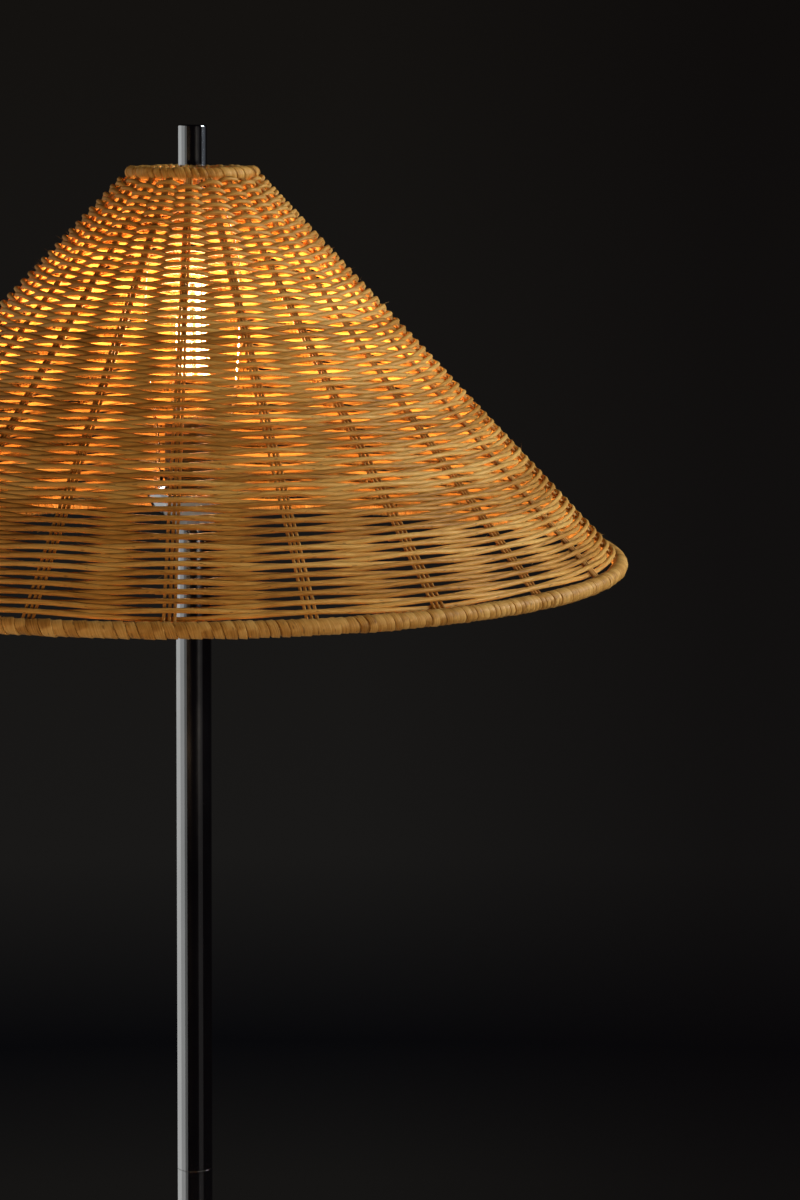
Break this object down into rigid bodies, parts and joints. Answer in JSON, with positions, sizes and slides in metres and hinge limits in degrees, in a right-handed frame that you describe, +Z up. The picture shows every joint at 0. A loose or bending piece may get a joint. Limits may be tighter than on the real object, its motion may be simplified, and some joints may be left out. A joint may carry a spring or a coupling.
{
  "type": "floor lamp",
  "caption": "Floor lamp with a conical woven rattan shade, a chrome tube on a weighted disc base, a harp over a clear tubular bulb, and a cylindrical finial.",
  "frame": {"origin": "on the floor, on the axis of the pole", "axes": "+Z up along the pole; +Y to the back, where the cord outlet is; the harp stands in the XZ plane"},
  "size_m": [0.5998, 0.5998, 1.4997],
  "materials": {
    "chrome": "mirror-polished chrome plate",
    "zinc_steel": "zinc-plated, satin",
    "brass": "machined, satin",
    "cast_iron": "rough casting with a thin dark paint",
    "felt": "pressed felt, matt",
    "black_rubber": "matt moulded",
    "black_phenolic": "moulded, soft gloss",
    "white_ceramic": "unglazed, pressed",
    "black_glass": "opaque fused glass",
    "clear_glass": "clear, polished",
    "filament": "warm white coating, lit",
    "rattan_strand": "round natural core, unvarnished, matt",
    "rattan_stake": "round natural core, matt",
    "rattan_peel": "flat cane peel, soft sheen"
  },
  "bodies": {
    "root": {"base_pad": "felt", "base_weight": "cast_iron", "base_cover": "chrome", "cord_outlet": "black_rubber", "base_washer": "zinc_steel", "base_nut": "brass", "base_nipple": "zinc_steel", "pole_lower": "chrome", "pole_joint_nipple": "zinc_steel", "pole_upper": "chrome", "top_nipple": "zinc_steel", "holder_cup": "chrome", "lock_nut": "brass", "holder_cap": "black_phenolic", "terminal_block": "white_ceramic", "contact_plate": "brass", "thread_sleeve": "brass", "holder_shell": "black_phenolic", "harp_saddle": "chrome", "harp_wire": "chrome", "harp_stud": "chrome"},
    "shade": {"shade_spider": "chrome", "top_wrap": "rattan_peel", "stake_01": "rattan_stake", "stake_02": "rattan_stake", "stake_03": "rattan_stake", "stake_04": "rattan_stake", "stake_05": "rattan_stake", "stake_06": "rattan_stake", "stake_07": "rattan_stake", "stake_08": "rattan_stake", "stake_09": "rattan_stake", "stake_10": "rattan_stake", "stake_11": "rattan_stake", "stake_12": "rattan_stake", "stake_13": "rattan_stake", "stake_14": "rattan_stake", "stake_15": "rattan_stake", "stake_16": "rattan_stake", "stake_17": "rattan_stake", "stake_18": "rattan_stake", "stake_19": "rattan_stake", "stake_20": "rattan_stake", "stake_21": "rattan_stake", "shade_weave": "rattan_strand", "rim_core": "rattan_stake", "rim_wrap": "rattan_peel"},
    "finial_thread": {"finial_insert": "brass"},
    "finial": {"finial": "chrome"},
    "bulb_thread": {"bulb_contact": "zinc_steel"},
    "bulb": {"bulb_insulator": "black_glass", "bulb_cap": "zinc_steel", "bulb_stem": "clear_glass", "bulb_filaments": "filament", "bulb_glass": "clear_glass"},
    "sleeve_left": {"harp_sleeve_left": "chrome"},
    "sleeve_right": {"harp_sleeve_right": "chrome"}
  },
  "joints": [
    {"name": "shade_swivel", "type": "hinge", "parent": "root", "child": "shade", "pos_m": [0, 0, 1.4627], "axis": [0, 0, 1], "continuous": true},
    {"name": "finial_rise", "type": "slide", "parent": "root", "child": "finial_thread", "axis": [0, 0, 1], "range_m": [0, 0.00939]},
    {"name": "finial_turn", "type": "hinge", "parent": "finial_thread", "child": "finial", "pos_m": [0, 0, 1.485], "axis": [0, 0, 1], "range_deg": [0, 3600]},
    {"name": "bulb_rise", "type": "slide", "parent": "root", "child": "bulb_thread", "axis": [0, 0, 1], "range_m": [0, 0.0181]},
    {"name": "bulb_turn", "type": "hinge", "parent": "bulb_thread", "child": "bulb", "pos_m": [0, 0, 1.283], "axis": [0, 0, 1], "range_deg": [0, 1800]},
    {"name": "sleeve_left_slide", "type": "slide", "parent": "root", "child": "sleeve_left", "axis": [0, 0, 1], "range_m": [0, 0.008]},
    {"name": "sleeve_right_slide", "type": "slide", "parent": "root", "child": "sleeve_right", "axis": [0, 0, 1], "range_m": [0, 0.008]}
  ],
  "couplings": [
    {"joint": "finial_turn", "follows": "finial_rise", "rad_per_m": 6684.2},
    {"joint": "bulb_turn", "follows": "bulb_rise", "rad_per_m": 1731.4}
  ]
}
